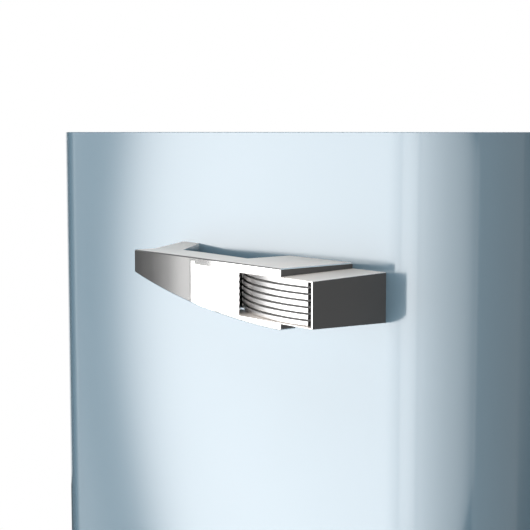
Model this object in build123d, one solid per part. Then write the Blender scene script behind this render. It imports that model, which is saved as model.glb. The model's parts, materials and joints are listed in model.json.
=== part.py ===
from build123d import *
import os

# Top freezer refrigerator. Millimetres, +Z up, front towards -Y, +X to the right seen from
# the front. The origin is on the floor under the centre of the whole outline, handles included.
# Both doors hinge on the left, and the pulls stand at the right.

# ---------------------------------------------------------------- driving dimensions
WIDTH = 600.0
HEIGHT = 1680.0
HANDLE_REACH = 73.0
DOOR_DEPTH = 92.0
DOOR_GAP = 8.0
CABINET_DEPTH = 540.0
COIL_SPACE = 29.0

DOOR_RADIUS = 71.0
SHEET = 1.0
LINER = 2.0
CABINET_BOTTOM = 50.0
CABINET_TOP = 1658.0
FRIDGE_DOOR_BOTTOM = 84.0
FRIDGE_DOOR_TOP = 1202.0
FREEZER_DOOR_BOTTOM = 1210.0

# Planes that follow from the depths above.
HANDLE_FRONT = -(HANDLE_REACH + DOOR_DEPTH + DOOR_GAP + CABINET_DEPTH + COIL_SPACE) / 2
DOOR_FRONT = HANDLE_FRONT + HANDLE_REACH
DOOR_BACK = DOOR_FRONT + DOOR_DEPTH
CABINET_FRONT = DOOR_BACK + DOOR_GAP
CABINET_BACK = CABINET_FRONT + CABINET_DEPTH
COIL_BACK = CABINET_BACK + COIL_SPACE

# Inner faces of the two cavities.
CAVITY_HALF = 248.0
FREEZER_FLOOR = 1242.0
FREEZER_CEILING = 1612.0
FREEZER_BACK = 202.0
FRIDGE_FLOOR = 116.0
FRIDGE_CEILING = 1170.0
FRIDGE_BACK = 242.0
STEP_FRONT = 88.0
STEP_TOP = 290.0
MACHINE_FRONT = 140.0
MACHINE_TOP = 240.0
BASE_SHEET = 2.0

# Hinge line and its fittings.
HINGE_X = -WIDTH / 2 + 14.0
HINGE_Y = DOOR_BACK - 26.0
PIN_RADIUS = 5.0
RUNNING_CLEARANCE = 0.05
PLATE = 4.0
ARM_HALF = 9.0
POCKET_FLOOR = 1650.0
CAP_THICKNESS = 12.0
BOSS_HEIGHT = 50.0
BOSS_SIDE = -250.0
BOSS_FRONT = 36.0
POCKET_SIDE = -262.0

# Door lining, seals and bins.
GASKET_INSET = 10.0
GASKET_WIDTH = 16.0
GASKET_DEPTH = 7.0
RAIL_OUTER = 236.0
RAIL_INNER = 224.0
RAIL_DEPTH = 45.0
BIN_HALF = 222.0
BIN_DEPTH = 94.0
BIN_WALL = 2.5
FRIDGE_BIN_HEIGHTS = (420.0, 680.0, 930.0)
FREEZER_BIN_HEIGHTS = (1268.0, 1440.0)
BIN_HEIGHT = 90.0
LID_LIFT = 3.0
LID_THICKNESS = 3.0
LID_BARREL = 3.0
LID_PIN = 1.5
LID_HINGE_Y = DOOR_BACK + 6.0

# Door pull: near corner of its top flange, measured from the door's right edge and top.
PULL_X = WIDTH / 2 - 108.0
PULL_DROP = 100.3
PULL_LENGTH = 233.0
PULL_HEIGHT = 46.2
PULL_BOW = 22.5
TIP_HEIGHT = 20.2
TIP_DROP = 3.6
TOP_LIP = 6.2
BOTTOM_LIP = 4.9
BLOCK_END = 37.0
BLOCK_START = -78.0
RIB_COUNT = 7
RIB_DEPTH = 3.4
RIB_HEIGHT = 2.6
RIB_MARGIN = 1.3
GRIP_RADIUS = 155.0
GRIP_NOSE = (5.0, 1.6)
MOUTH_START = -57.0
PANEL_START = -120.0
PANEL_DEPTH = 5.0
POCKET_DEPTH = 24.0
FOOT_RISE = 1.3

# Inside the cabinet.
SHELF_FRONT = -100.0
SHELF_BACK = 236.0
SHELF_HALF = 246.0
SHELF_LEVELS = (395.0, 600.0, 790.0, 980.0)
GLASS = 4.0
DRAWER_FRONT = -90.0
DRAWER_TOP = 372.0
EVAPORATOR_FACE = 130.0

# Running gear and back.
FOOT_X = 255.0
FOOT_Y = -150.0
ROLLER_X = 230.0
ROLLER_Y = 290.0
ROLLER_RADIUS = 18.0
AXLE_RADIUS = 4.0
COIL_RUNS = 16
COIL_PITCH = 56.0
COIL_BOTTOM = 400.0
COIL_HALF = 200.0
TUBE_RADIUS = 2.6
COIL_Y = CABINET_BACK + 15.0


# ---------------------------------------------------------------- shape helpers
def slab(x0, x1, y0, y1, z0, z1):
    """A block between two opposite corners."""
    centre = ((x0 + x1) / 2, (y0 + y1) / 2, (z0 + z1) / 2)
    return Pos(*centre) * Box(x1 - x0, y1 - y0, z1 - z0)


def rod(radius, x, y, z0, z1):
    """An upright cylinder."""
    return Pos(x, y, (z0 + z1) / 2) * Cylinder(radius, z1 - z0)


def rod_y(radius, x, z, y0, y1):
    """A cylinder that runs front to back."""
    return Pos(x, (y0 + y1) / 2, z) * Rot(90, 0, 0) * Cylinder(radius, y1 - y0)


def rod_x(radius, y, z, x0, x1):
    """A cylinder that runs left to right."""
    return Pos((x0 + x1) / 2, y, z) * Rot(0, 90, 0) * Cylinder(radius, x1 - x0)


def open_tray(x0, x1, y0, y1, z0, z1, wall):
    """A box with no top."""
    outer = slab(x0, x1, y0, y1, z0, z1)
    return outer - slab(x0 + wall, x1 - wall, y0 + wall, y1 - wall, z0 + wall, z1 + wall)


def upright_prism(points, z0, z1):
    """A plan outline raised between two heights."""
    face = make_face(Polyline(*points, close=True))
    return Pos(0, 0, z0) * extrude(face, z1 - z0)


def write(name, *solids):
    """Writes one node; several solids become one group."""
    shape = solids[0] if len(solids) == 1 else Compound(children=list(solids))
    shape.label = name
    export_step(shape, f"parts/{name}.step")


# ---------------------------------------------------------------- cabinet
def cabinet_outline(inset):
    """The cabinet's cross-section seen from the front, with rounded top corners."""
    half = WIDTH / 2 - inset
    height = CABINET_TOP - inset - CABINET_BOTTOM
    face = Pos(0, height / 2) * Rectangle(2 * half, height)
    top_corners = face.vertices().sort_by(Axis.Y)[-2:]
    return fillet(top_corners, 14.0 - inset)


def cabinet_prism(inset, y0, y1):
    """The cabinet's cross-section, run from front to back."""
    plane = Plane((0, y0, CABINET_BOTTOM), x_dir=(1, 0, 0), z_dir=(0, -1, 0))
    return extrude(plane * cabinet_outline(inset), -(y1 - y0))


def cavity_openings(y0, y1):
    """The two openings through the cabinet's front face."""
    freezer = slab(-CAVITY_HALF, CAVITY_HALF, y0, y1, FREEZER_FLOOR, FREEZER_CEILING)
    fridge = slab(-CAVITY_HALF, CAVITY_HALF, y0, y1, FRIDGE_FLOOR, FRIDGE_CEILING)
    return freezer, fridge


def build_shell():
    front = CABINET_FRONT + SHEET
    hollow = cabinet_prism(SHEET, front - 1, CABINET_BACK + 1)
    write("cabinet_wrapper", cabinet_prism(0, front, CABINET_BACK) - hollow)

    freezer, fridge = cavity_openings(CABINET_FRONT - 1, front + 1)
    write("front_face_frame", cabinet_prism(0, CABINET_FRONT, front) - freezer - fridge)

    half = WIDTH / 2 - SHEET
    rear_sheet = slab(-half, half, CABINET_BACK - SHEET, CABINET_BACK, MACHINE_TOP, CABINET_TOP)
    write("back_panel", rear_sheet & cabinet_prism(SHEET, front, CABINET_BACK))

    pan = slab(-half, half, front, CABINET_BACK, CABINET_BOTTOM, CABINET_BOTTOM + BASE_SHEET)
    for side in (-1, 1):
        nut_half = 16.0
        x = side * FOOT_X
        pan += slab(x - nut_half, x + nut_half, FOOT_Y - nut_half, FOOT_Y + nut_half, 28, CABINET_BOTTOM)
        pan -= rod(5.0 + RUNNING_CLEARANCE, x, FOOT_Y, 27, 46)
    write("base_pan", pan)


def build_insulation():
    front = CABINET_FRONT + SHEET
    back = CABINET_BACK - SHEET
    low = CABINET_BOTTOM + BASE_SHEET
    top = CABINET_TOP - SHEET
    inner = CAVITY_HALF + LINER
    outer = WIDTH / 2 - SHEET
    room = cabinet_prism(SHEET, front, back)
    slabs = [
        slab(-outer, -inner, front, back, low, top) & room,
        slab(inner, outer, front, back, low, top) & room,
        slab(-inner, inner, front, back, FREEZER_CEILING + LINER, top),
        slab(-inner, inner, front, FREEZER_BACK + LINER, FRIDGE_CEILING + LINER, FREEZER_FLOOR - LINER),
        slab(-inner, inner, FREEZER_BACK + LINER, back, FRIDGE_CEILING + LINER, FREEZER_CEILING + LINER),
        slab(-inner, inner, FRIDGE_BACK + LINER, back, STEP_TOP - LINER, FRIDGE_CEILING + LINER),
        slab(-inner, inner, STEP_FRONT + LINER, back, MACHINE_TOP, STEP_TOP - LINER),
        slab(-inner, inner, STEP_FRONT + LINER, MACHINE_FRONT, low, MACHINE_TOP),
        slab(-inner, inner, front, STEP_FRONT + LINER, low, FRIDGE_FLOOR - LINER),
    ]
    write("insulation", *slabs)


def build_liners():
    front = CABINET_FRONT + SHEET
    inner = CAVITY_HALF
    outer = CAVITY_HALF + LINER
    freezer_shell = slab(
        -outer, outer, front, FREEZER_BACK + LINER, FREEZER_FLOOR - LINER, FREEZER_CEILING + LINER
    )
    freezer_room = slab(-inner, inner, front - 1, FREEZER_BACK, FREEZER_FLOOR, FREEZER_CEILING)
    write("freezer_liner", freezer_shell - freezer_room)

    lower_shell = slab(
        -outer, outer, front, STEP_FRONT + LINER, FRIDGE_FLOOR - LINER, FRIDGE_CEILING + LINER
    )
    upper_shell = slab(
        -outer, outer, front, FRIDGE_BACK + LINER, STEP_TOP - LINER, FRIDGE_CEILING + LINER
    )
    lower_room = slab(-inner, inner, front - 1, STEP_FRONT, FRIDGE_FLOOR, FRIDGE_CEILING)
    upper_room = slab(-inner, inner, front - 1, FRIDGE_BACK, STEP_TOP, FRIDGE_CEILING)
    liner = lower_shell + upper_shell - lower_room - upper_room
    for level in SHELF_LEVELS:
        for side in (-1, 1):
            x0, x1 = sorted((side * (inner - 8), side * inner))
            liner += slab(x0, x1, SHELF_FRONT, SHELF_BACK, level - 7, level - 0.5)
    write("fridge_liner", liner)


def build_kick_grille():
    y0, y1 = CABINET_FRONT - 12, CABINET_FRONT - 6
    grille = slab(-296, 296, y0, y1, 20, 76)
    grille = fillet(grille.edges().filter_by(Axis.Z).group_by(Axis.Y)[0], 3)
    slot_count, pitch = 31, 17.0
    slots = [
        slab(x - 3, x + 3, y0 - 1, y1 + 1, 30, 66)
        for x in (pitch * (i - (slot_count - 1) / 2) for i in range(slot_count))
    ]
    grille = grille - slots
    for side in (-1, 1):
        x0, x1 = sorted((side * 160, side * 190))
        grille += slab(x0, x1, y1, CABINET_FRONT, 54, 66) - slots
    write("kick_grille", grille)


# ---------------------------------------------------------------- hinges and running gear
def hinge_arm(z0, z1, y_back):
    """A flat arm from behind the pin to the cabinet, round at the pin."""
    arm = slab(HINGE_X - ARM_HALF, HINGE_X + ARM_HALF, HINGE_Y, y_back, z0, z1)
    return arm + rod(ARM_HALF, HINGE_X, HINGE_Y, z0, z1)


def build_hinges():
    top_plate_end = CABINET_FRONT + 80
    top = hinge_arm(CABINET_TOP, CABINET_TOP + PLATE, top_plate_end)
    top += rod(PIN_RADIUS, HINGE_X, HINGE_Y, CABINET_TOP - 26, CABINET_TOP)
    write("top_hinge", top)

    flange_half = 20.0
    flange_x0, flange_x1 = HINGE_X - ARM_HALF, HINGE_X - ARM_HALF + 2 * flange_half
    gap_low = FRIDGE_DOOR_TOP + 2
    centre = hinge_arm(gap_low, gap_low + PLATE, CABINET_FRONT)
    centre += slab(flange_x0, flange_x1, CABINET_FRONT - 3, CABINET_FRONT, gap_low - 9, gap_low + 12)
    centre += rod(PIN_RADIUS, HINGE_X, HINGE_Y, gap_low - 24, gap_low + PLATE + 24)
    write("centre_hinge", centre)

    arm_low = FRIDGE_DOOR_BOTTOM - 6
    bottom = hinge_arm(arm_low, arm_low + PLATE, CABINET_FRONT)
    bottom += slab(flange_x0, flange_x1, CABINET_FRONT - 3, CABINET_FRONT, 52, arm_low + PLATE)
    bottom += rod(PIN_RADIUS, HINGE_X, HINGE_Y, arm_low + PLATE, arm_low + PLATE + 26)
    write("bottom_hinge", bottom)

    screw_x = flange_x1 - 8
    screws = [rod(4.5, HINGE_X, CABINET_FRONT + y, CABINET_TOP + PLATE, CABINET_TOP + PLATE + 3)
              for y in (20, 60)]
    screws.append(rod_y(4.5, screw_x, gap_low + 2, CABINET_FRONT - 5.5, CABINET_FRONT - 3))
    screws += [rod_y(4.5, screw_x, z, CABINET_FRONT - 5.5, CABINET_FRONT - 3) for z in (59, 71)]
    write("hinge_screws", *screws)

    y0, y1 = CABINET_FRONT + 3, CABINET_FRONT + 92
    cover = slab(-298, -262, y0, y1, CABINET_TOP, CABINET_TOP + 17)
    cover = fillet(cover.edges().filter_by(Axis.Z), 5)
    room = slab(-296, -264, y0 + 2, y1 - 2, CABINET_TOP - 1, CABINET_TOP + 15)
    mouth_x0, mouth_x1 = HINGE_X - ARM_HALF - 0.5, HINGE_X + ARM_HALF + 0.5
    mouth = slab(mouth_x0, mouth_x1, y0 - 1, y0 + 3, CABINET_TOP - 1, CABINET_TOP + PLATE + 1)
    write("hinge_cover", cover - room - mouth)


def build_feet():
    for name, side in (("left", -1), ("right", 1)):
        foot = rod(19, side * FOOT_X, FOOT_Y, 0, 10) + rod(5, side * FOOT_X, FOOT_Y, 10, 44)
        foot = chamfer(foot.edges().group_by(Axis.Z)[0], 1.5)
        hex_nut = extrude(Pos(side * FOOT_X, FOOT_Y, 10) * RegularPolygon(10, 6), 7)
        write(f"levelling_foot_{name}", foot + hex_nut)


def build_rollers():
    brackets = []
    axle_z = ROLLER_RADIUS
    for name, side in (("left", -1), ("right", 1)):
        x = side * ROLLER_X
        wheel = rod_x(ROLLER_RADIUS, ROLLER_Y, axle_z, x - 9, x + 9)
        wheel = fillet(wheel.edges().filter_by(GeomType.CIRCLE), 2)
        wheel -= rod_x(AXLE_RADIUS + RUNNING_CLEARANCE, ROLLER_Y, axle_z, x - 10, x + 10)
        write(f"rear_roller_{name}", wheel)
        cheek_half = 12.0
        for cheek in (x - 13, x + 10):
            brackets.append(slab(cheek, cheek + 3, ROLLER_Y - cheek_half, ROLLER_Y + cheek_half, 8, 50))
        brackets.append(rod_x(AXLE_RADIUS, ROLLER_Y, axle_z, x - 10, x + 10))
    write("roller_brackets", *brackets)


# ---------------------------------------------------------------- doors
def door_prism(inset, z0, z1, y_back=DOOR_BACK):
    """The door's plan outline, flat in front with large round front corners."""
    half = WIDTH / 2 - inset
    y_front = DOOR_FRONT + inset
    face = Pos(0, (y_front + DOOR_BACK) / 2) * Rectangle(2 * half, DOOR_BACK - y_front)
    face = fillet(face.vertices().sort_by(Axis.Y)[:2], DOOR_RADIUS - inset)
    body = Pos(0, 0, z0) * extrude(face, z1 - z0)
    if y_back < DOOR_BACK:
        body &= slab(-WIDTH, WIDTH, DOOR_FRONT - 1, y_back, z0 - 1, z1 + 1)
    return body


def boss_zone(z0, z1):
    """The hinge corner of the door, where the end cap is a full block."""
    return slab(-WIDTH, BOSS_SIDE, HINGE_Y - BOSS_FRONT, DOOR_BACK - LINER, z0, z1)


def ring(half_outer, half_inner, y0, y1, z0, z1, band):
    """An upright rectangular frame."""
    outer = slab(-half_outer, half_outer, y0, y1, z0, z1)
    return outer - slab(-half_inner, half_inner, y0 - 1, y1 + 1, z0 + band, z1 - band)


def build_door(name, z0, z1, gasket_top, rails, pocket):
    """Writes one door's skin, end caps, foam, lining and seal."""
    pull_top = z1 - PULL_DROP
    studs = pull_studs(pull_top)
    skin = door_prism(0, z0, z1) - door_prism(SHEET, z0 - 1, z1 + 1)
    skin -= slab(-WIDTH / 2 + SHEET, WIDTH / 2 - SHEET, DOOR_BACK - 5, DOOR_BACK + 1, z0 - 1, z1 + 1)
    low_cap = door_prism(SHEET, z0, z0 + CAP_THICKNESS)
    low_cap += door_prism(SHEET, z0, z0 + BOSS_HEIGHT) & boss_zone(z0, z0 + BOSS_HEIGHT)
    high_cap = door_prism(SHEET, z1 - CAP_THICKNESS, z1)
    boss_low = z1 - BOSS_HEIGHT - (z1 - POCKET_FLOOR if pocket else 0)
    high_cap += door_prism(SHEET, boss_low, z1) & boss_zone(boss_low, z1)
    foam = door_prism(SHEET, z0 + CAP_THICKNESS, z1 - CAP_THICKNESS, DOOR_BACK - LINER)
    foam -= boss_zone(z0, z0 + BOSS_HEIGHT)
    foam -= boss_zone(boss_low, z1)
    plate_low, plate_high = z0 + CAP_THICKNESS, z1 - CAP_THICKNESS
    half = WIDTH / 2 - SHEET
    liner = slab(-half, half, DOOR_BACK - LINER, DOOR_BACK, plate_low, plate_high)
    liner += ring(RAIL_OUTER, RAIL_INNER, DOOR_BACK, DOOR_BACK + RAIL_DEPTH, *rails, 12)

    bore = PIN_RADIUS + RUNNING_CLEARANCE
    low_cap -= rod(bore, HINGE_X, HINGE_Y, z0 - 1, z0 + 30)
    pin_bottom = (POCKET_FLOOR if pocket else z1) - 30
    high_cap -= rod(bore, HINGE_X, HINGE_Y, pin_bottom, z1 + 1)
    if pocket:
        recess = slab(-WIDTH, POCKET_SIDE, HINGE_Y - 26, DOOR_BACK + 1, POCKET_FLOOR, z1 + 1)
        skin -= recess
        high_cap -= recess
        foam -= recess
        liner -= recess
    gasket = ring(
        WIDTH / 2 - GASKET_INSET, WIDTH / 2 - GASKET_INSET - GASKET_WIDTH,
        DOOR_BACK, DOOR_BACK + GASKET_DEPTH, z0 + GASKET_INSET, gasket_top, GASKET_WIDTH,
    )
    write(f"{name}_door_skin", skin - studs)
    write(f"{name}_door_caps", low_cap, high_cap)
    write(f"{name}_door_foam", foam - studs)
    write(f"{name}_door_liner", liner)
    write(f"{name}_door_gasket", gasket)
    write(f"{name}_handle_studs", *studs)
    build_pull(name, pull_top, studs)


# ---------------------------------------------------------------- door pull
# In the pull's own frame, x runs along the door from the near corner of the top flange,
# y runs from the bar's front towards the door, and z is down from the bar's top plane.
def pull_slab(x0, x1, y0, y1, z0, z1, top):
    """A block in the pull's own frame."""
    return slab(PULL_X + x0, PULL_X + x1, HANDLE_FRONT + y0, HANDLE_FRONT + y1, top - z1, top - z0)


def pull_studs(top):
    """Threaded studs that hold the pull's feet to the door."""
    places = ((-52.0, 25.0), (12.0, 25.0), (-216.0, 14.0))
    return [
        rod_y(3.0, PULL_X + x, top - z, DOOR_FRONT - 12, DOOR_FRONT + 16) for x, z in places
    ]


def bow(x):
    """How far the bar's front has drawn back towards the door at x."""
    return PULL_BOW * (x / PULL_LENGTH) ** 2


def bar_plan():
    """Plan outline of the bar with its near leg, as a face on the XY plane."""
    tip_x = -PULL_LENGTH
    front = ThreePointArc((0, 0), (tip_x / 2, bow(tip_x / 2)), (tip_x, PULL_BOW))
    rest = Polyline(
        (tip_x, PULL_BOW), (tip_x + 1, PULL_BOW + 22), (-190, 48), (-165, 44), (-108, 36),
        (-80, 32), (-78, HANDLE_REACH), (0, HANDLE_REACH), (0, 0),
    )
    return make_face([front, rest])


def bar_elevation():
    """The bar seen from the front: both edges draw in towards the tip, the lower one more."""
    tip_x = -PULL_LENGTH
    tip_top = -TIP_DROP
    tip_bottom = -TIP_DROP - TIP_HEIGHT
    upper = ThreePointArc((0, 0), (tip_x / 2, -0.7), (tip_x, tip_top))
    lower = ThreePointArc((tip_x, tip_bottom), (tip_x / 2, 7.3 - PULL_HEIGHT), (0, -PULL_HEIGHT))
    tip = Line((tip_x, tip_top), (tip_x, tip_bottom))
    near_end = Line((0, -PULL_HEIGHT), (0, 0))
    return make_face([upper, tip, lower, near_end])


def far_foot():
    """The foot behind the bar's tip, which grows taller towards the door."""
    behind_front = 40.0
    near = Polyline((-231, -4), (-191, -4), (-191, -23.5), (-231, -23.5), close=True)
    far = Polyline((-229, FOOT_RISE), (-205, FOOT_RISE), (-205, -28), (-229, -28), close=True)
    sections = [
        Plane((0, y, 0), x_dir=(1, 0, 0), z_dir=(0, -1, 0)) * make_face(outline)
        for y, outline in ((behind_front, near), (HANDLE_REACH, far))
    ]
    return loft(sections)


def build_bar(name, at, top, studs):
    floor = PULL_HEIGHT - BOTTOM_LIP
    past_end, back_room = 1.0, -88.0
    plan = extrude(bar_plan(), -PULL_HEIGHT - 4)
    front_plane = Plane((0, -5, 0), x_dir=(1, 0, 0), z_dir=(0, -1, 0))
    elevation = extrude(front_plane * bar_elevation(), -(HANDLE_REACH + 10))
    bar = at * (plan & elevation)
    bar -= pull_slab(MOUTH_START, past_end, -5, HANDLE_REACH + 5, TOP_LIP, floor, top)
    bar -= pull_slab(back_room, MOUTH_START, 12, HANDLE_REACH + 5, TOP_LIP, floor, top)
    bar -= pull_slab(back_room, past_end, 15, HANDLE_REACH + 5, TOP_LIP, PULL_HEIGHT + 5, top)
    panel_end = MOUTH_START + 1
    panel = (
        (PANEL_START, -5), (PANEL_START, bow(PANEL_START)), (panel_end, PANEL_DEPTH), (panel_end, -5)
    )
    bar -= at * upright_prism(panel, -floor, -TOP_LIP)
    foot = at * far_foot() - bar
    bar = bar + foot - studs
    write(f"{name}_handle_bar", bar)
    return bar


def build_block(name, at, top, bar, studs):
    floor = PULL_HEIGHT - BOTTOM_LIP
    rim, end_wall, draft = 1.1, 2.5, 1.7
    door_top, door_bottom = draft - TOP_LIP, -floor - draft
    side = make_face(Polyline(
        (0, -TOP_LIP), (HANDLE_REACH, door_top), (HANDLE_REACH, door_bottom), (0, -floor), close=True
    ))
    side_plane = Plane((BLOCK_START, 0, 0), x_dir=(0, 1, 0), z_dir=(1, 0, 0))
    block = at * extrude(side_plane * side, BLOCK_END - BLOCK_START)
    past_start = BLOCK_START - 1
    block -= pull_slab(past_start, BLOCK_END - end_wall, -1, POCKET_DEPTH, TOP_LIP + rim, floor - rim, top)
    block -= pull_slab(past_start, MOUTH_START, -1, POCKET_DEPTH, 0, PULL_HEIGHT, top)
    block -= pull_slab(past_start, MOUTH_START + 1, -1, 15, 0, PULL_HEIGHT, top)
    block = block - bar - studs
    write(f"{name}_handle_block", block)
    return block


def rib_front(depth):
    """Plan region behind the insert's bowed front, set back by depth."""
    nose_x, nose_y = GRIP_NOSE
    disc = Pos(nose_x, nose_y + depth + GRIP_RADIUS) * Circle(GRIP_RADIUS)
    window_x, window_length = -28.0, 112.0
    window = Pos(window_x, POCKET_DEPTH / 2) * Rectangle(window_length, POCKET_DEPTH)
    return disc & window


def build_insert(name, at, top, block):
    high = TOP_LIP + RIB_MARGIN
    low = PULL_HEIGHT - BOTTOM_LIP - RIB_MARGIN
    pitch = (low - high - RIB_HEIGHT) / (RIB_COUNT - 1)
    insert = Pos(0, 0, -low) * extrude(rib_front(RIB_DEPTH), low - high)
    for i in range(RIB_COUNT):
        rib_bottom = high + i * pitch + RIB_HEIGHT
        insert += Pos(0, 0, -rib_bottom) * extrude(rib_front(0), RIB_HEIGHT)
    insert = at * insert
    insert -= pull_slab(-100, MOUTH_START, -1, 13, 0, PULL_HEIGHT, top)
    write(f"{name}_handle_insert", insert - block)


def build_pull(name, top, studs):
    """Writes one door's pull: the bar, its mounting block and the ribbed grip."""
    at = Pos(PULL_X, HANDLE_FRONT, top)
    bar = build_bar(name, at, top, studs)
    block = build_block(name, at, top, bar, studs)
    build_insert(name, at, top, block)


# ---------------------------------------------------------------- door furniture
def door_bin(z0, height):
    """A bin between the door's rails, with a low bead round its rim."""
    y0 = DOOR_BACK + 0.5
    y1 = DOOR_BACK + BIN_DEPTH
    tray = open_tray(-BIN_HALF, BIN_HALF, y0, y1, z0, z0 + height, BIN_WALL)
    bead = slab(-BIN_HALF, BIN_HALF, y1, y1 + 2, z0 + height - 10, z0 + height)
    return tray + bead


def lid_ear(side, axis_z):
    """An ear on the bin's side wall with a bore for the lid's pin."""
    x0, x1 = sorted((side * (BIN_HALF - BIN_WALL), side * BIN_HALF))
    ear = slab(x0, x1, DOOR_BACK + 0.5, LID_HINGE_Y + 5, axis_z - 14, axis_z + 4)
    return ear - rod_x(LID_PIN + RUNNING_CLEARANCE, LID_HINGE_Y, axis_z, x0 - 1, x1 + 1)


def build_bins():
    write("freezer_door_bins", *[door_bin(z, BIN_HEIGHT) for z in FREEZER_BIN_HEIGHTS])
    lid_z = FRIDGE_BIN_HEIGHTS[-1] + BIN_HEIGHT + LID_LIFT
    axis_z = lid_z + LID_THICKNESS / 2
    bins = [door_bin(z, BIN_HEIGHT) for z in FRIDGE_BIN_HEIGHTS]
    bins[-1] += lid_ear(-1, axis_z)
    bins[-1] += lid_ear(1, axis_z)
    write("fridge_door_bins", *bins)

    half = BIN_HALF - BIN_WALL - 0.5
    lid_front = DOOR_BACK + BIN_DEPTH + 4.5
    lid_top = lid_z + LID_THICKNESS
    lid = slab(-half, half, LID_HINGE_Y, lid_front, lid_z, lid_top)
    lid += slab(-half, half, lid_front - 2, lid_front, lid_top - 23, lid_top)
    lid += rod_x(LID_BARREL, LID_HINGE_Y, axis_z, -half, half)
    lid += rod_x(LID_PIN, LID_HINGE_Y, axis_z, -BIN_HALF + 0.2, BIN_HALF - 0.2)
    write("dairy_lid", lid)


# ---------------------------------------------------------------- inside the cabinet
def build_freezer_inside():
    face_y = EVAPORATOR_FACE
    cover = slab(-CAVITY_HALF, CAVITY_HALF, face_y, face_y + 3, FREEZER_FLOOR, FREEZER_CEILING)
    slots = [slab(-180, 180, face_y - 1, face_y + 4, z, z + 6) for z in range(1262, 1310, 14)]
    slots += [slab(-180, 180, face_y - 1, face_y + 4, z, z + 6) for z in range(1574, 1602, 14)]
    fan_z = 1490.0
    cover -= slots
    cover -= rod_y(52, 0, fan_z, face_y - 1, face_y + 4)
    spokes = slab(-53, 53, face_y, face_y + 3, fan_z - 3, fan_z + 3)
    spokes += slab(-3, 3, face_y, face_y + 3, fan_z - 53, fan_z + 53)
    spokes += rod_y(18, 0, fan_z, face_y, face_y + 3)
    cover += spokes
    cover += rod_y(14, 0, fan_z, face_y + 26, face_y + 50)
    cover += slab(-6, 6, face_y + 30, face_y + 46, fan_z + 10, fan_z + 58)
    cover += slab(-6, 6, face_y + 3, face_y + 46, fan_z + 56, fan_z + 62)
    write("evaporator_cover", cover)

    fan = rod_y(13, 0, fan_z, face_y + 8, face_y + 24)
    for i in range(5):
        blade = Pos(30, 0, 0) * Rot(28, 0, 0) * Box(36, 2, 22)
        fan += Pos(0, face_y + 16, fan_z) * Rot(0, 72 * i, 0) * blade
    write("evaporator_fan", fan)

    fins = [slab(x - 0.5, x + 0.5, face_y + 14, face_y + 66, 1280, 1400) for x in range(-200, 201, 25)]
    for i in range(len(fins) - 1):
        x = -200 + 25 * i
        for y in (face_y + 28, face_y + 52):
            fins += [rod_x(4, y, z, x + 0.5, x + 24.5) for z in (1310, 1370)]
    write("evaporator_coil", *fins)

    shelf = slab(-SHELF_HALF, SHELF_HALF, -90, face_y - 4, 1424, 1428)
    bars = [slab(x - 4, x + 4, -82, face_y - 12, 1423, 1429) for x in range(-232, 233, 16)]
    shelf -= bars
    shelf += slab(-SHELF_HALF, SHELF_HALF, -94, -88, 1420, 1432)
    write("freezer_shelf", shelf)


def drawer(x0, x1):
    """A crisper drawer, notched at the back over the step in the cabinet floor."""
    wall = 3.0
    low, notch_top, top = FRIDGE_FLOOR + 3, STEP_TOP + 6, DRAWER_TOP
    front_part = slab(x0, x1, DRAWER_FRONT, STEP_FRONT - 6, low, top)
    rear_part = slab(x0, x1, DRAWER_FRONT, FRIDGE_BACK - 12, notch_top, top)
    room = slab(x0 + wall, x1 - wall, DRAWER_FRONT + wall, STEP_FRONT - 6 - wall, low + wall, top + 1)
    rear_end = FRIDGE_BACK - 12 - wall
    rear_room = slab(x0 + wall, x1 - wall, DRAWER_FRONT + wall, rear_end, notch_top + wall, top + 1)
    grip = slab(x0 + 30, x1 - 30, DRAWER_FRONT - 8, DRAWER_FRONT, top - 26, top - 20)
    return front_part + rear_part - room - rear_room + grip


def build_fridge_inside():
    glass, trims = [], []
    for level in SHELF_LEVELS:
        half, glass_front = SHELF_HALF, SHELF_FRONT + 6
        glass.append(slab(2 - half, half - 2, glass_front, SHELF_BACK, level, level + GLASS))
        trim = slab(-half, half, SHELF_FRONT - 2, SHELF_FRONT + 12, level - 0.4, level + 8)
        trims.append(trim - slab(-half, half, glass_front, glass_front + 14, level - 5, level + GLASS))
    write("glass_shelves", *glass)
    write("shelf_trims", *trims)
    write("crisper_drawer_left", drawer(-232, -4))
    write("crisper_drawer_right", drawer(4, 232))

    ceiling = FRIDGE_CEILING
    housing = slab(-90, 90, -70, 60, ceiling - 34, ceiling)
    housing -= slab(-60, 60, -40, 50, ceiling - 35, ceiling - 6)
    housing -= rod_y(4 + RUNNING_CLEARANCE, 55, ceiling - 17, -71, -44)
    lens = slab(-60, 60, -40, 50, ceiling - 34, ceiling - 31)
    write("lamp_lens", lens)
    knob = rod_y(13, 55, ceiling - 17, -84, -71)
    knob = fillet(knob.edges().filter_by(GeomType.CIRCLE).group_by(Axis.Y)[0], 2)
    knob += slab(53.5, 56.5, -86, -84, ceiling - 28, ceiling - 8)
    knob += rod_y(4, 55, ceiling - 17, -71, -50)
    write("thermostat_knob", knob)

    switch_z = ceiling - 12
    socket = slab(170, 194, -180, -140, ceiling - 24, ceiling)
    socket -= slab(176, 188, -181, -152, switch_z - 6, switch_z + 6)
    write("control_housing", housing, socket)
    plunger = slab(176.1, 187.9, -200, -158, switch_z - 5.9, switch_z + 5.9)
    write("door_switch_plunger", plunger)


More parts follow.
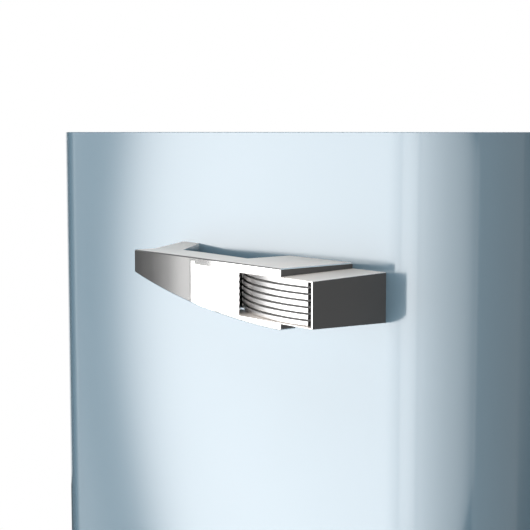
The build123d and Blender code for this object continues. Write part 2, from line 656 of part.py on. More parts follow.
# ---------------------------------------------------------------- machine compartment and back
def build_machine():
    floor = CABINET_BOTTOM + BASE_SHEET
    x, y = -70.0, 244.0
    profile = make_face([
        Polyline((0, 76), (0, 208)),
        ThreePointArc((0, 208), (52, 196), (72, 160)),
        Line((72, 160), (72, 118)),
        ThreePointArc((72, 118), (56, 86), (0, 76)),
    ])
    shell = Pos(x, y, 0) * revolve(Plane.XZ * profile, Axis.Z)
    plate = slab(x - 100, x + 100, y - 62, y + 62, floor + 14, floor + 17)
    stem = rod(22, x, y, floor + 17, 90)
    relay = slab(x + 66, x + 104, y - 24, y + 24, 110, 170)
    compressor = shell + stem + plate + relay
    write("compressor", compressor)
    mounts = [
        rod(11, x + sx * 86, y + sy * 48, floor, floor + 14) for sx in (-1, 1) for sy in (-1, 1)
    ]
    write("compressor_mounts", *mounts)

    write("drip_tray", open_tray(x - 75, x + 75, y - 70, y + 70, 210, 232, 2))
    drier = rod(8, 90, 300, 90, 170)
    drier = fillet(drier.edges().filter_by(GeomType.CIRCLE), 3)
    write("filter_drier", drier + rod(3, 90, 300, 70, 90) + rod(3, 90, 300, 170, 190))
    inlet = slab(196, 240, 314, CABINET_BACK - 2, 90, 130) - slab(201, 235, 326, CABINET_BACK, 98, 122)
    for offset in (-9, 0, 9):
        inlet += slab(217 + offset, 219 + offset, 325, 331, 107, 113)
    bracket = slab(240, 250, 316, 336, 95, 125)
    write("mains_inlet", inlet + bracket)


def build_condenser():
    """A serpentine tube on the back, tied by upright wires, with its feed pipe."""
    bend = COIL_PITCH / 2
    points = []
    x = COIL_HALF + bend
    for i in range(COIL_RUNS):
        z = COIL_BOTTOM + i * COIL_PITCH
        side = 1 if i % 2 == 0 else -1
        points += [(-side * x, COIL_Y, z), (side * x, COIL_Y, z)]
    top = COIL_BOTTOM + (COIL_RUNS - 1) * COIL_PITCH
    points[-1] = (-COIL_HALF, COIL_Y, top)
    feed_x = -COIL_HALF - 30
    feed = [(-70, 330, 170), (-70, COIL_Y, 170), (feed_x, COIL_Y, 200), (feed_x, COIL_Y, COIL_BOTTOM)]
    radii = [16, 30, 24] + [bend - 0.01] * (len(points) - 2)
    path = FilletPolyline(*(feed + points[1:]), radius=radii)
    start = Plane(origin=path @ 0, z_dir=path % 0)
    tube = sweep(start * Circle(TUBE_RADIUS), path)
    write("condenser_tube", tube)
    wire_radius = 0.9
    wire_y = COIL_Y + TUBE_RADIUS + wire_radius + 0.05
    wires = [rod(wire_radius, x, wire_y, COIL_BOTTOM - 20, top + 20) for x in range(-190, 191, 20)]
    write("condenser_wires", *wires)
    brackets = []
    for side in (-1, 1):
        for z in (COIL_BOTTOM + 70, top - 70):
            x0, x1 = sorted((side * 250, side * 262))
            brackets.append(slab(x0, x1, CABINET_BACK, COIL_BACK, z - 20, z + 20))
    write("rear_spacers", *brackets)


# ---------------------------------------------------------------- all nodes
build_shell()
build_insulation()
build_liners()
build_kick_grille()
build_hinges()
build_feet()
build_rollers()
build_door("freezer", FREEZER_DOOR_BOTTOM, HEIGHT, CABINET_TOP - 4, (1252.0, 1602.0), True)
build_door("fridge", FRIDGE_DOOR_BOTTOM, FRIDGE_DOOR_TOP, FRIDGE_DOOR_TOP - 10, (400.0, 1136.0), False)
build_bins()
build_freezer_inside()
build_fridge_inside()
build_machine()
build_condenser()
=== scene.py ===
import json
import math

import bmesh
import bpy
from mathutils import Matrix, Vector


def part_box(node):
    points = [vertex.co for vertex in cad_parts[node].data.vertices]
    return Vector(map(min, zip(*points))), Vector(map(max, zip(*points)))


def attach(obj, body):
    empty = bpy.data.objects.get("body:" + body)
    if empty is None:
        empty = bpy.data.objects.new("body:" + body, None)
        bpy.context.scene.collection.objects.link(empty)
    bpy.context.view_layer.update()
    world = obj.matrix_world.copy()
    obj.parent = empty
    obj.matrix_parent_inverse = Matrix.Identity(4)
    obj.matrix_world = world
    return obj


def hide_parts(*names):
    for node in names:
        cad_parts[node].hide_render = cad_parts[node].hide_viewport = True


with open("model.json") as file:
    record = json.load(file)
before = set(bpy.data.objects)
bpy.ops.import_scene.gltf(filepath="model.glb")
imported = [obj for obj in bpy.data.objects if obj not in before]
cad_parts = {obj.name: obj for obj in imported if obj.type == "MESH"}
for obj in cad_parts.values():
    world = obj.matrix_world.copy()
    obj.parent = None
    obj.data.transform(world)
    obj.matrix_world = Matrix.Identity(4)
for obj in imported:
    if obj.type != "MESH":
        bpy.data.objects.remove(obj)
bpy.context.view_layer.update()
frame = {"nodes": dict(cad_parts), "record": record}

# A refrigerator with a freezer on top. Metres, +Z up, front towards -Y, hinges at the left.
MM = 0.001
NODES = frame["nodes"]
COLORS = {m["slot"]: m["base_color"] for m in frame["record"]["materials"]}
SLOT_OF = {p["node"]: p["material_slot"] for p in frame["record"]["subparts"]}
BODY_OF = {n: b for b, members in frame["record"]["behaviour"]["bodies"].items() for n in members}

# ---------------------------------------------------------------- dimensions
DOOR_RADIUS = 71 * MM
SHEET = 1 * MM
# The upper door's top is cut away round the hinge.
HINGE_POCKET_FLOOR = 1.650
HINGE_POCKET_DEPTH = 52 * MM
HINGE_POCKET_END = -262 * MM
PULL_LENGTH = 233 * MM
PULL_HEIGHT = 46.2 * MM
PULL_REACH = 73 * MM
PULL_BOW = 22.5 * MM
TIP_HEIGHT = 20.2 * MM
TIP_DROP = 3.6 * MM
TOP_LIP = 6.2 * MM
BOTTOM_LIP = 4.9 * MM
# These four lie left of the near corner of the bar's top flange, and the block's end right of it.
MOUTH_START = 57 * MM
BLOCK_START = 78 * MM
ROOM_START = 88 * MM
PANEL_START = 120 * MM
BLOCK_END = 37 * MM
BLOCK_DRAFT = 1.7 * MM
BLOCK_RIM = 1.1 * MM
POCKET_DEPTH = 27.5 * MM
RIB_COUNT = 7
RIB_HEIGHT = 3.5 * MM
RIB_DEPTH = 3.4 * MM
RIB_ROUNDING = 0.7 * MM
RIB_MARGIN = 1.3 * MM
GRIP_RADIUS = 155 * MM
GRIP_NOSE = (5 * MM, 1.6 * MM)
# Cutting shapes reach this far past the solid that they cut.
CLEAR = 0.01
# The enamel's own colour is darker and more saturated than it looks under its clear gloss.
PAINT_SHARE = 0.33
PAINT_POWER = 1.4
# Edges sharper than this are bevelled.
CREASE = math.radians(30)
# The key panels: how far they stand from the pull, how high their middle is and how tall they are.
KEY_DISTANCE = 2.6
KEY_HEIGHT = 1.2
KEY_TALL = 2.15
# The camera: its lens, its place from the near corner of the upper pull, and its aim in degrees.
LENS = 88.3
CAMERA_RIGHT = 0.7408
CAMERA_FORWARD = 0.6012
CAMERA_DOWN = 5.84
CAMERA_TURN = 51.6


# ---------------------------------------------------------------- mesh helpers
def make_object(name, vertices, faces):
    """A mesh object with outward normals."""
    mesh = bpy.data.meshes.new(name)
    mesh.from_pydata([tuple(v) for v in vertices], [], faces)
    work = bmesh.new()
    work.from_mesh(mesh)
    bmesh.ops.recalc_face_normals(work, faces=work.faces)
    work.to_mesh(mesh)
    work.free()
    piece = bpy.data.objects.new(name, mesh)
    bpy.context.scene.collection.objects.link(piece)
    return piece


def loft(name, loops):
    """A closed solid through loops of equal length, with flat ends."""
    count = len(loops[0])
    vertices = [p for loop in loops for p in loop]
    faces = []
    for row in range(len(loops) - 1):
        low, high = row * count, (row + 1) * count
        for i in range(count):
            j = (i + 1) % count
            faces.append((low + i, low + j, high + j, high + i))
    faces.append(tuple(reversed(range(count))))
    last = (len(loops) - 1) * count
    faces.append(tuple(range(last, last + count)))
    return make_object(name, vertices, faces)


def prism(name, points, axis, low, high):
    """A 2-D outline run along one axis; the outline's two numbers are the other two axes in order."""
    def place(p, height):
        coordinates = list(p)
        coordinates.insert(axis, height)
        return Vector(coordinates)
    return loft(name, [[place(p, low) for p in points], [place(p, high) for p in points]])


def apply_modifiers(piece):
    """Replaces the piece's mesh by what its modifiers make of it."""
    graph = bpy.context.evaluated_depsgraph_get()
    result = bpy.data.meshes.new_from_object(piece.evaluated_get(graph))
    piece.modifiers.clear()
    old = piece.data
    piece.data = result
    bpy.data.meshes.remove(old)


def combine(piece, other, operation):
    """Cuts, joins or intersects piece with other, and removes other."""
    boolean = piece.modifiers.new("boolean", "BOOLEAN")
    boolean.operation = operation
    boolean.solver = "EXACT"
    boolean.object = other
    apply_modifiers(piece)
    bpy.data.objects.remove(other)


def cut_box(piece, low, high):
    """Removes the box between two corners from piece."""
    corners = [(low[0], low[1]), (high[0], low[1]), (high[0], high[1]), (low[0], high[1])]
    combine(piece, prism("cutter", corners, 2, low[2], high[2]), "DIFFERENCE")


def soften(piece, width, segments):
    """Rounds the hard edges, or chamfers them with one segment, and shades the rest smooth."""
    work = bmesh.new()
    work.from_mesh(piece.data)
    bmesh.ops.remove_doubles(work, verts=work.verts, dist=2e-6)
    bmesh.ops.dissolve_limit(
        work, angle_limit=math.radians(0.4), verts=work.verts, edges=work.edges, use_dissolve_boundaries=False
    )
    work.to_mesh(piece.data)
    work.free()
    bevel = piece.modifiers.new("bevel", "BEVEL")
    bevel.width = width
    bevel.segments = segments
    bevel.limit_method = "ANGLE"
    bevel.angle_limit = CREASE
    bevel.use_clamp_overlap = True
    apply_modifiers(piece)
    piece.data.shade_smooth()
    piece.data.set_sharp_from_angle(angle=CREASE if segments == 1 else math.radians(50))
    weighted = piece.modifiers.new("normals", "WEIGHTED_NORMAL")
    weighted.keep_sharp = True
    weighted.weight = 60
    apply_modifiers(piece)


def stand_for(piece, material, node):
    """The piece is finished, rides and stands for one CAD node."""
    piece.data.materials.clear()
    piece.data.materials.append(material)
    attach(piece, BODY_OF[node])
    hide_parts(node)


def paint_light_on_faces(piece, material, chosen):
    """Gives the faces that a test on centre and normal picks another material, one that carries painted
    light.
    """
    piece.data.materials.append(material)
    index = len(piece.data.materials) - 1
    for face in piece.data.polygons:
        if chosen(face.center, face.normal):
            face.material_index = index


def faces_up(centre, normal):
    return normal.z > 0.95


# ---------------------------------------------------------------- material helpers
def new_material(name):
    """A material with its shader; returns the material, its node tree and the shader."""
    material = bpy.data.materials.new(name)
    material.use_nodes = True
    tree = material.node_tree
    return material, tree, tree.nodes["Principled BSDF"]


def noise(tree, scale, detail=2.0, stretch=(1, 1, 1)):
    """Noise over the object's own coordinates; returns its factor."""
    coordinates = tree.nodes.new("ShaderNodeTexCoord")
    mapping = tree.nodes.new("ShaderNodeMapping")
    mapping.inputs["Scale"].default_value = stretch
    texture = tree.nodes.new("ShaderNodeTexNoise")
    texture.inputs["Scale"].default_value = scale
    texture.inputs["Detail"].default_value = detail
    tree.links.new(coordinates.outputs["Object"], mapping.inputs["Vector"])
    tree.links.new(mapping.outputs["Vector"], texture.inputs["Vector"])
    return texture.outputs["Fac"]


def ramp(tree, factor, low, high):
    """Maps a factor to a range of numbers or colours."""
    spread = tree.nodes.new("ShaderNodeValToRGB")
    spread.color_ramp.elements[0].position = 0.3
    spread.color_ramp.elements[1].position = 0.7
    for element, value in zip(spread.color_ramp.elements, (low, high)):
        element.color = (*value[:3], 1) if hasattr(value, "__len__") else (value, value, value, 1)
    tree.links.new(factor, spread.inputs["Fac"])
    return spread.outputs["Color"]


def bump(tree, shader, height, strength, distance):
    """Adds a bump from a height to the shader."""
    relief = tree.nodes.new("ShaderNodeBump")
    relief.inputs["Strength"].default_value = strength
    relief.inputs["Distance"].default_value = distance
    tree.links.new(height, relief.inputs["Height"])
    tree.links.new(relief.outputs["Normal"], shader.inputs["Normal"])


def shade(color, share):
    """A colour scaled by a share."""
    return [c * share for c in color[:3]]


def enamel(name, color):
    """Gloss stoved enamel: faint orange peel, a slight unevenness of colour and a deep clear coat."""
    material, tree, shader = new_material(name)
    tone = ramp(tree, noise(tree, 3.0, 3.0), shade(color, 0.985), shade(color, 1.015))
    tree.links.new(tone, shader.inputs["Base Color"])
    haze = ramp(tree, noise(tree, 9.0, 5.0), 0.18, 0.22)
    tree.links.new(haze, shader.inputs["Roughness"])
    shader.inputs["IOR"].default_value = 1.5
    shader.inputs["Coat Weight"].default_value = 1.0
    shader.inputs["Coat IOR"].default_value = 2.0
    shader.inputs["Coat Roughness"].default_value = 0.1
    bump(tree, shader, noise(tree, 260.0, 2.0), 0.05, 0.0004)
    return material


def chrome(name, tint, low, high, metallic=1.0):
    """Plating with faint wipe marks; a lower metallic share is used for the copies that carry painted sheen
    and painted dark reflection.
    """
    material, tree, shader = new_material(name)
    shader.inputs["Metallic"].default_value = metallic
    tone = ramp(tree, noise(tree, 22.0, 4.0), shade(tint, 0.96), tint)
    tree.links.new(tone, shader.inputs["Base Color"])
    wipes = ramp(tree, noise(tree, 18.0, 3.0, (1, 2, 3)), low, high)
    tree.links.new(wipes, shader.inputs["Roughness"])
    bump(tree, shader, noise(tree, 700.0, 1.0, (1, 2, 2)), 0.02, 0.00002)
    return material


def plastic(name, color, roughness, grain_scale, grain):
    """Moulded plastic with a fine grain."""
    material, tree, shader = new_material(name)
    tone = ramp(tree, noise(tree, 14.0, 3.0), shade(color, 0.96), shade(color, 1.03))
    tree.links.new(tone, shader.inputs["Base Color"])
    gloss = ramp(tree, noise(tree, 40.0, 4.0), roughness * 0.85, roughness * 1.15)
    tree.links.new(gloss, shader.inputs["Roughness"])
    bump(tree, shader, noise(tree, grain_scale, 2.0), grain, 0.0003)
    return material


def steel(name, color, roughness, stretch):
    """Rolled or plated metal with a drawn grain."""
    material, tree, shader = new_material(name)
    shader.inputs["Metallic"].default_value = 1.0
    grain = noise(tree, 90.0, 4.0, stretch)
    tone = ramp(tree, grain, shade(color, 0.95), shade(color, 1.03))
    tree.links.new(tone, shader.inputs["Base Color"])
    gloss = ramp(tree, grain, roughness * 0.92, roughness * 1.08)
    tree.links.new(gloss, shader.inputs["Roughness"])
    bump(tree, shader, grain, 0.03, 0.0001)
    return material


def clear(name, color, roughness, weight):
    """Glass or clear plastic."""
    material, tree, shader = new_material(name)
    tone = ramp(tree, noise(tree, 6.0, 2.0), shade(color, 0.98), shade(color, 1.0))
    tree.links.new(tone, shader.inputs["Base Color"])
    gloss = ramp(tree, noise(tree, 30.0, 4.0), roughness * 0.7, roughness * 1.4)
    tree.links.new(gloss, shader.inputs["Roughness"])
    shader.inputs["Transmission Weight"].default_value = weight
    shader.inputs["IOR"].default_value = 1.49
    return material


def foam(name, color):
    """Cut rigid foam with open cells."""
    material, tree, shader = new_material(name)
    tone = ramp(tree, noise(tree, 70.0, 4.0), shade(color, 0.8), shade(color, 1.05))
    tree.links.new(tone, shader.inputs["Base Color"])
    shader.inputs["Roughness"].default_value = 0.95
    bump(tree, shader, noise(tree, 420.0, 3.0), 0.5, 0.0008)
    return material


def make_materials():
    """One material for each slot of the record, and the materials that paint sheen, dark reflection and shade
    onto some of the pull's faces.
    """
    c = COLORS
    paint = [PAINT_SHARE * channel**PAINT_POWER for channel in c["body_paint"][:3]]
    return {
        "body_paint": enamel("body_paint", paint),
        "door_cap": plastic("door_cap", c["door_cap"], 0.3, 300.0, 0.02),
        "foam": foam("foam", c["foam"]),
        "lining": plastic("lining", c["lining"], 0.32, 500.0, 0.08),
        "white_plastic": plastic("white_plastic", c["white_plastic"], 0.3, 400.0, 0.03),
        "seal": plastic("seal", c["seal"], 0.6, 900.0, 0.15),
        "bright_chrome": chrome("bright_chrome", (0.95, 0.94, 0.93), 0.09, 0.13),
        "satin_chrome": chrome("satin_chrome", (0.95, 0.93, 0.91), 0.2, 0.25),
        "grip_chrome": chrome("grip_chrome", (0.95, 0.94, 0.93), 0.3, 0.36),
        # Painted shade for the grip's groove floors and end faces.
        "painted_groove_shade": plastic("painted_groove_shade", (0.05, 0.05, 0.05), 0.3, 900.0, 0.05),
        # Painted warm sheen for the pull's top faces, standing in for the overhead light that they reflect.
        "painted_top_sheen": chrome("painted_top_sheen", (0.98, 0.91, 0.85), 0.32, 0.38, 0.4),
        # Painted dark reflection for the bar's top front chamfer.
        "painted_edge_reflection": chrome("painted_edge_reflection", (0.2, 0.2, 0.2), 0.3, 0.36, 0.5),
        # Painted dark reflection for the pull's right end faces, in place of chrome reflecting dark
        # surroundings.
        "painted_end_reflection": plastic("painted_end_reflection", (0.075, 0.074, 0.073), 0.42, 1200.0, 0.06),
        "zinc_steel": steel("zinc_steel", c["zinc_steel"], 0.38, (1, 1, 0.08)),
        "grey_plastic": plastic("grey_plastic", c["grey_plastic"], 0.5, 900.0, 0.2),
        "rubber": plastic("rubber", c["rubber"], 0.75, 600.0, 0.25),
        "black_enamel": plastic("black_enamel", c["black_enamel"], 0.3, 350.0, 0.08),
        "copper": steel("copper", c["copper"], 0.3, (1, 1, 0.2)),
        "fin_aluminium": steel("fin_aluminium", c["fin_aluminium"], 0.35, (1, 0.1, 1)),
        "shelf_glass": clear("shelf_glass", c["shelf_glass"], 0.03, 0.9),
        "clear_plastic": clear("clear_plastic", c["clear_plastic"], 0.12, 0.75),
        "wire_white": plastic("wire_white", c["wire_white"], 0.3, 300.0, 0.02),
        "black_plastic": plastic("black_plastic", c["black_plastic"], 0.5, 900.0, 0.2),
    }


# ---------------------------------------------------------------- doors
def round_front_outline(low, high):
    """Plan points from the back right corner round the flat front to the back left corner.
    Each comes with its outward direction."""
    steps = 40
    points = [((high.x, high.y), (1, 0))]
    for side in (1, -1):
        centre_x = (high.x if side == 1 else low.x) - side * DOOR_RADIUS
        centre_y = low.y + DOOR_RADIUS
        for i in range(steps + 1):
            turn = math.radians(90 * i / steps)
            angle = -turn if side == 1 else math.radians(-90) - turn
            nx, ny = math.cos(angle), math.sin(angle)
            points.append(((centre_x + DOOR_RADIUS * nx, centre_y + DOOR_RADIUS * ny), (nx, ny)))
    points.append(((low.x, high.y), (-1, 0)))
    return points


def build_door_skin(node, material):
    """The door's wrapped steel sheet, with its top and bottom edges rounded."""
    low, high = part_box(node)
    half = SHEET / 2
    arc = [math.radians(18 * i) for i in range(11)]
    section = [(half - half * math.cos(a), high.z - half + half * math.sin(a)) for a in arc]
    section += [(half + half * math.cos(a), low.z + half - half * math.sin(a)) for a in arc]
    loops = []
    for (x, y), (nx, ny) in round_front_outline(low, high):
        loops.append([Vector((x - nx * d, y - ny * d, z)) for d, z in section])
    skin = loft(f"{node}_finished", loops)
    if node == "freezer_door_skin":
        pocket_low = (low.x - CLEAR, high.y - HINGE_POCKET_DEPTH, HINGE_POCKET_FLOOR)
        cut_box(skin, pocket_low, (HINGE_POCKET_END, high.y + CLEAR, high.z + CLEAR))
    skin.data.shade_smooth()
    skin.data.set_sharp_from_angle(angle=math.radians(40))
    stand_for(skin, material, node)


# ---------------------------------------------------------------- door pull
# Distances along the bar are measured from the near corner of its top flange towards its tip.
def bow(along):
    """How far the bar's front has drawn back towards the door."""
    return PULL_BOW * (along / PULL_LENGTH) ** 2


def top_drop(along):
    """How far the bar's top has dropped."""
    return TIP_DROP * (along / PULL_LENGTH) ** 2.2


def bottom_rise(along):
    """How far the bar's lower edge has risen."""
    return (PULL_HEIGHT - TIP_HEIGHT - TIP_DROP) * (along / PULL_LENGTH) ** 1.65


def stations(start, end, count):
    """Evenly spaced numbers from start to end."""
    return [start + (end - start) * i / (count - 1) for i in range(count)]


def in_pull(corner, points):
    """Plan or elevation points in millimetres from the corner, as places in the scene."""
    return [(corner[0] + x * MM, corner[1] + y * MM) for x, y in points]


def right_end(edge):
    """A test for the faces that close a piece at its right-hand edge."""
    return lambda centre, normal: normal.x > 0.9 and centre.x > edge - MM


def top_chamfer(corner):
    """A test for the chamfer along the bar's top front edge."""
    def chosen(centre, normal):
        edge = corner.z - top_drop(max(corner.x - centre.x, 0))
        return normal.y < -0.3 and 0.3 < normal.z < 0.95 and centre.z > edge - MM
    return chosen


def foot_loop(corner, depth, outline):
    """One upright section of the far foot."""
    return [Vector((corner.x + x * MM, corner.y + depth, corner.z + z * MM)) for x, z in outline]


def build_bar(name, corner, material, painted_sheen_material, painted_end_material, painted_edge_material):
    """The tapered bar with its two lips, its flat finger panel, near leg and far foot."""
    run = stations(0, PULL_LENGTH, 60)
    back = [(-232, 44.5), (-190, 48), (-165, 44), (-108, 36), (-80, 32), (-78, 73), (0, 73)]
    plan = [(corner.x - s, corner.y + bow(s)) for s in run] + in_pull(corner, back)
    bar = prism(f"{name}_handle_bar_finished", plan, 2, corner.z - PULL_HEIGHT - CLEAR, corner.z + CLEAR)
    top = [(corner.x - s, corner.z - top_drop(s)) for s in run]
    bottom = [(corner.x - s, corner.z - PULL_HEIGHT + bottom_rise(s)) for s in reversed(run)]
    side = prism("side", top + bottom, 1, corner.y - CLEAR, corner.y + PULL_REACH + CLEAR)
    combine(bar, side, "INTERSECT")
    # The outer edges are chamfered first, because the cuts leave slivers that would narrow the chamfer.
    soften(bar, 0.9 * MM, 1)

    # The grip's mouth, the space behind it, the near leg's pocket for the block and the finger panel.
    low, high = corner.z - PULL_HEIGHT + BOTTOM_LIP, corner.z - TOP_LIP
    mouth, room = corner.x - MOUTH_START, corner.x - ROOM_START
    past_end, past_back = corner.x + CLEAR, corner.y + PULL_REACH + CLEAR
    cut_box(bar, (mouth, corner.y - CLEAR, low), (past_end, past_back, high))
    behind = [(-88, 12), (-64, 12), (-57, 5.6), (-56, 5.6), (-56, 80), (-88, 80)]
    combine(bar, prism("behind", in_pull(corner, behind), 2, low, high), "DIFFERENCE")
    cut_box(bar, (corner.x - 50 * MM, corner.y + 15 * MM, low - CLEAR), (past_end, past_back, high))
    cut_box(bar, (room, corner.y + POCKET_DEPTH, low - CLEAR), (past_end, past_back, high))
    panel_start = -PANEL_START / MM
    panel = [(panel_start, -9), (panel_start, bow(PANEL_START) / MM), (-56, 5), (-56, -9)]
    combine(bar, prism("panel", in_pull(corner, panel), 2, low, high), "DIFFERENCE")

    near = [(-231, -4), (-191, -4), (-191, -23.5), (-231, -23.5)]
    far = [(-229, 1.3), (-205, 1.3), (-205, -28), (-229, -28)]
    foot = loft("foot", [foot_loop(corner, 40 * MM, near), foot_loop(corner, PULL_REACH, far)])
    combine(bar, foot, "UNION")
    soften(bar, 0.2 * MM, 1)
    stand_for(bar, material, f"{name}_handle_bar")
    # Painted warm sheen on the bar's top faces.
    paint_light_on_faces(bar, painted_sheen_material, faces_up)
    # Painted dark reflection on the bar's right end faces.
    paint_light_on_faces(bar, painted_end_material, right_end(corner.x))
    # Painted dark reflection on the top front chamfer.
    paint_light_on_faces(bar, painted_edge_material, top_chamfer(corner))


def build_block(name, corner, material, painted_sheen_material, painted_end_material):
    """The drafted mounting block with its pocket for the grip."""
    low, high = corner.z - PULL_HEIGHT + BOTTOM_LIP, corner.z - TOP_LIP
    door = corner.y + PULL_REACH
    outline = [(corner.y, high), (door, high + BLOCK_DRAFT), (door, low - BLOCK_DRAFT), (corner.y, low)]
    start, end = corner.x - BLOCK_START, corner.x + BLOCK_END
    block = prism(f"{name}_handle_block_finished", outline, 0, start, end)
    past_start, mouth, pocket = start - CLEAR, corner.x - 56 * MM, corner.y + POCKET_DEPTH
    front = corner.y - CLEAR
    cut_box(block, (past_start, front, low + BLOCK_RIM), (end - 1.6 * MM, pocket, high - BLOCK_RIM))
    cut_box(block, (past_start, front, low - CLEAR), (mouth, pocket, high + CLEAR))
    soften(block, 0.5 * MM, 3)
    stand_for(block, material, f"{name}_handle_block")
    # Painted warm sheen on the block's top faces.
    paint_light_on_faces(block, painted_sheen_material, faces_up)
    # Painted dark reflection on the block's right end faces.
    paint_light_on_faces(block, painted_end_material, right_end(end))


def rib_section(floor):
    """The grip's comb outline as (set back, drop) points; the floor lies behind the ribs."""
    high, low = TOP_LIP + RIB_MARGIN, PULL_HEIGHT - BOTTOM_LIP - RIB_MARGIN
    pitch = (low - high - RIB_HEIGHT) / (RIB_COUNT - 1)
    nick = 0.15 * MM
    points = []
    for i in range(RIB_COUNT):
        top = high + i * pitch
        bottom = top + RIB_HEIGHT
        points += [(RIB_DEPTH, top), (RIB_ROUNDING, top), (nick, top + nick), (0, top + RIB_ROUNDING)]
        points += [(0, bottom - RIB_ROUNDING), (nick, bottom - nick)]
        points += [(RIB_ROUNDING, bottom), (RIB_DEPTH, bottom)]
    return points + [(floor, low), (floor, high)]


def rib_line(along):
    """How far back the ribs' bowed line lies at a distance right of the corner."""
    nose_x, nose_y = GRIP_NOSE
    return nose_y + GRIP_RADIUS - math.sqrt(GRIP_RADIUS**2 - (along - nose_x) ** 2)


def build_grip(name, corner, material, painted_groove_material):
    """The ribbed insert: its comb outline is carried along a bowed line."""
    back = POCKET_DEPTH - 0.1 * MM
    loops = []
    for x in stations(-87.5 * MM, 28 * MM, 60):
        line = rib_line(x)
        loops.append([
            Vector((corner.x + x, corner.y + min(line + set_back, back), corner.z - drop))
            for set_back, drop in rib_section(back)
        ])
    grip = loft(f"{name}_handle_insert_finished", loops)
    grip.data.shade_smooth()
    grip.data.set_sharp_from_angle(angle=math.radians(55))
    stand_for(grip, material, f"{name}_handle_insert")
    groove_depth = 3.3 * MM

    def in_groove(centre, normal):
        return centre.y - corner.y > rib_line(centre.x - corner.x) + groove_depth or abs(normal.x) > 0.9

    # The groove floors and the insert's end faces get painted shade.
    paint_light_on_faces(grip, painted_groove_material, in_groove)


def build_pull(name, materials):
    """One door's pull, placed by the near front corner of its top flange."""
    bar_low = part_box(f"{name}_handle_bar")[0]
    block_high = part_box(f"{name}_handle_block")[1]
    top = bar_low.z + PULL_HEIGHT
    corner = Vector((block_high.x - BLOCK_END, bar_low.y, top))
    # The top faces get a painted sheen, the right end faces and the bar's top front chamfer a painted dark
    # reflection, and the grip's grooves painted shade.
    sheen_on_top, reflection_on_end = materials["painted_top_sheen"], materials["painted_end_reflection"]
    build_bar(name, corner, materials["bright_chrome"], sheen_on_top, reflection_on_end, materials["painted_edge_reflection"])
    build_block(name, corner, materials["satin_chrome"], sheen_on_top, reflection_on_end)
    build_grip(name, corner, materials["grip_chrome"], materials["painted_groove_shade"])
    return corner


# ---------------------------------------------------------------- stage, lights and camera
def build_floor():
    """A pale floor that ends a few metres away."""
    size = 2.6
    corners = [(-size, -size, 0), (size, -size, 0), (size, size, 0), (-size, size, 0)]
    floor = make_object("floor", corners, [(0, 1, 2, 3)])
    material, tree, shader = new_material("pale_floor")
    tone = ramp(tree, noise(tree, 2.0, 4.0), (0.80, 0.80, 0.80), (0.84, 0.84, 0.84))
    tree.links.new(tone, shader.inputs["Base Color"])
    shader.inputs["Roughness"].default_value = 0.7
    floor.data.materials.append(material)


def soft_box(name, place, target, width, height, profile):
    """A soft box that faces a target. The profile gives (share of the width, brightness) stops."""
    light = bpy.data.lights.new(name, "AREA")
    light.shape = "RECTANGLE"
    light.size = width
    light.size_y = height
    light.energy = width * height * math.pi
    light.use_nodes = True
    tree = light.node_tree
    peak = max(value for _, value in profile)
    emission = tree.nodes["Emission"]
    emission.inputs["Strength"].default_value = peak
    if len(profile) > 1:
        geometry = tree.nodes.new("ShaderNodeNewGeometry")
        split = tree.nodes.new("ShaderNodeSeparateXYZ")
        spread = tree.nodes.new("ShaderNodeValToRGB")
        spread.color_ramp.interpolation = "B_SPLINE"
        for position, _ in profile[2:]:
            spread.color_ramp.elements.new(position)
        for element, (position, value) in zip(spread.color_ramp.elements, profile):
            element.position = position
            element.color = (value / peak, value / peak, value / peak, 1)
        tree.links.new(geometry.outputs["Parametric"], split.inputs["Vector"])
        tree.links.new(split.outputs["X"], spread.inputs["Fac"])
        tree.links.new(spread.outputs["Color"], emission.inputs["Color"])
    holder = bpy.data.objects.new(name, light)
    holder.location = place
    holder.rotation_euler = (Vector(target) - Vector(place)).to_track_quat("-Z", "Y").to_euler()
    holder.visible_camera = False
    bpy.context.scene.collection.objects.link(holder)


def build_world():
    """White to the camera and a dim grey room to everything else."""
    world = bpy.data.worlds.new("studio")
    bpy.context.scene.world = world
    world.use_nodes = True
    tree = world.node_tree
    tree.nodes.clear()
    path = tree.nodes.new("ShaderNodeLightPath")
    room = tree.nodes.new("ShaderNodeBackground")
    room.inputs["Color"].default_value = (0.95, 0.98, 1.0, 1)
    room.inputs["Strength"].default_value = 0.045
    paper = tree.nodes.new("ShaderNodeBackground")
    paper.inputs["Color"].default_value = (1, 1, 1, 1)
    paper.inputs["Strength"].default_value = 1.0
    mix = tree.nodes.new("ShaderNodeMixShader")
    out = tree.nodes.new("ShaderNodeOutputWorld")
    tree.links.new(path.outputs["Is Camera Ray"], mix.inputs["Fac"])
    tree.links.new(room.outputs["Background"], mix.inputs[1])
    tree.links.new(paper.outputs["Background"], mix.inputs[2])
    tree.links.new(mix.outputs["Shader"], out.inputs["Surface"])


def around(centre, azimuth, distance, shift):
    """A place round a point at the key panels' height. Azimuth 0 is in front and 90 to the left of it,
    and the shift moves the place leftwards."""
    angle = math.radians(azimuth)
    outwards = Vector((-math.sin(angle), -math.cos(angle), 0))
    leftwards = Vector((-math.cos(angle), math.sin(angle), 0))
    place = centre + outwards * distance + leftwards * shift
    return Vector((place.x, place.y, KEY_HEIGHT))


def wide_panel(name, centre, azimuth, stops):
    """A wide panel at one azimuth round the centre. The stops run from its left edge to its right one,
    each as (metres leftwards, brightness)."""
    left, right = stops[0][0], stops[-1][0]
    width = left - right
    middle = (left + right) / 2
    place = around(centre, azimuth, KEY_DISTANCE, middle)
    facing = around(centre, azimuth, 0.0, middle)
    soft_box(name, place, facing, width, KEY_TALL, [((left - at) / width, level) for at, level in stops])


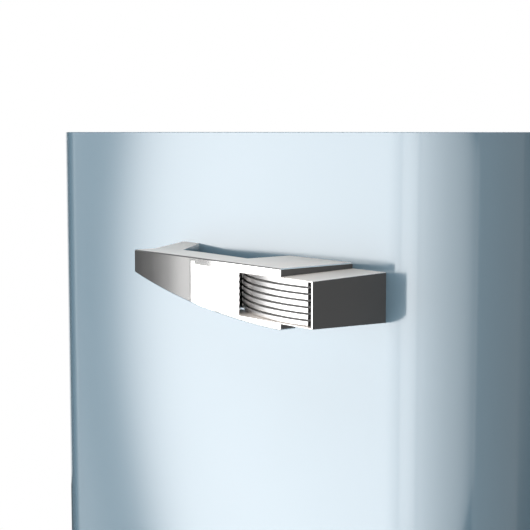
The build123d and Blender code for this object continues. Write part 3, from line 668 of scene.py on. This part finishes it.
def build_lights(corner):
    """Two broad graded panels in front, brightest at the left, with dim fills elsewhere."""
    left_stops = [
        (2.7, 0.02), (2.25, 0.1), (2.05, 0.2), (1.85, 0.5), (1.64, 0.9), (1.54, 0.1), (1.43, 0.05),
        (1.39, 0.8), (1.32, 2.3), (1.22, 3.2), (0.9, 3.4), (-0.6, 3.4), (-1.9, 0.0),
    ]
    right_stops = [(2.34, 0.0), (0.9, 2.95), (0.23, 2.35), (-0.95, 1.65), (-2.5, 1.2), (-3.9, 0.25)]
    wide_panel("key_left", corner, 35, left_stops)
    wide_panel("key_right", corner, -20, right_stops)
    soft_box("ceiling", (0.0, 0.0, 3.4), (0.0, 0.01, 0.0), 4.5, 4.5, [(0, 1.5)])
    soft_box("rear_fill", (0.3, 3.2, 1.6), (0.0, 0.3, 0.8), 2.4, 2.0, [(0, 1.2)])
    soft_box("left_fill", (-3.0, 0.9, 1.4), (-0.3, 0.1, 0.8), 1.6, 2.0, [(0, 0.8)])
    soft_box("right_fill", (3.3, 0.7, 1.2), (0.3, 0.1, 1.2), 4.2, 2.4, [(0, 0.36)])


def build_camera(corner):
    """At the height of the upper door's top, in front and to the right, looking slightly down."""
    camera = bpy.data.cameras.new("camera")
    camera.sensor_width = 36.0
    camera.lens = LENS
    camera.clip_start = 0.05
    holder = bpy.data.objects.new("camera", camera)
    bpy.context.scene.collection.objects.link(holder)
    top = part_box("freezer_door_skin")[1].z
    holder.location = (corner.x + CAMERA_RIGHT, corner.y - CAMERA_FORWARD, top)
    holder.rotation_euler = (math.radians(90 - CAMERA_DOWN), 0, math.radians(CAMERA_TURN))
    bpy.context.scene.camera = holder


# ---------------------------------------------------------------- the object
materials = make_materials()
build_door_skin("freezer_door_skin", materials["body_paint"])
build_door_skin("fridge_door_skin", materials["body_paint"])
upper_corner = build_pull("freezer", materials)
build_pull("fridge", materials)
replaced = {
    f"{door}_{part}"
    for door in ("freezer", "fridge")
    for part in ("door_skin", "handle_bar", "handle_block", "handle_insert")
}
for node, piece in NODES.items():
    if node not in replaced:
        piece.data.materials.clear()
        piece.data.materials.append(materials[SLOT_OF[node]])

build_floor()
build_world()
build_lights(upper_corner)
build_camera(upper_corner)
bpy.context.scene.view_settings.view_transform = "Standard"
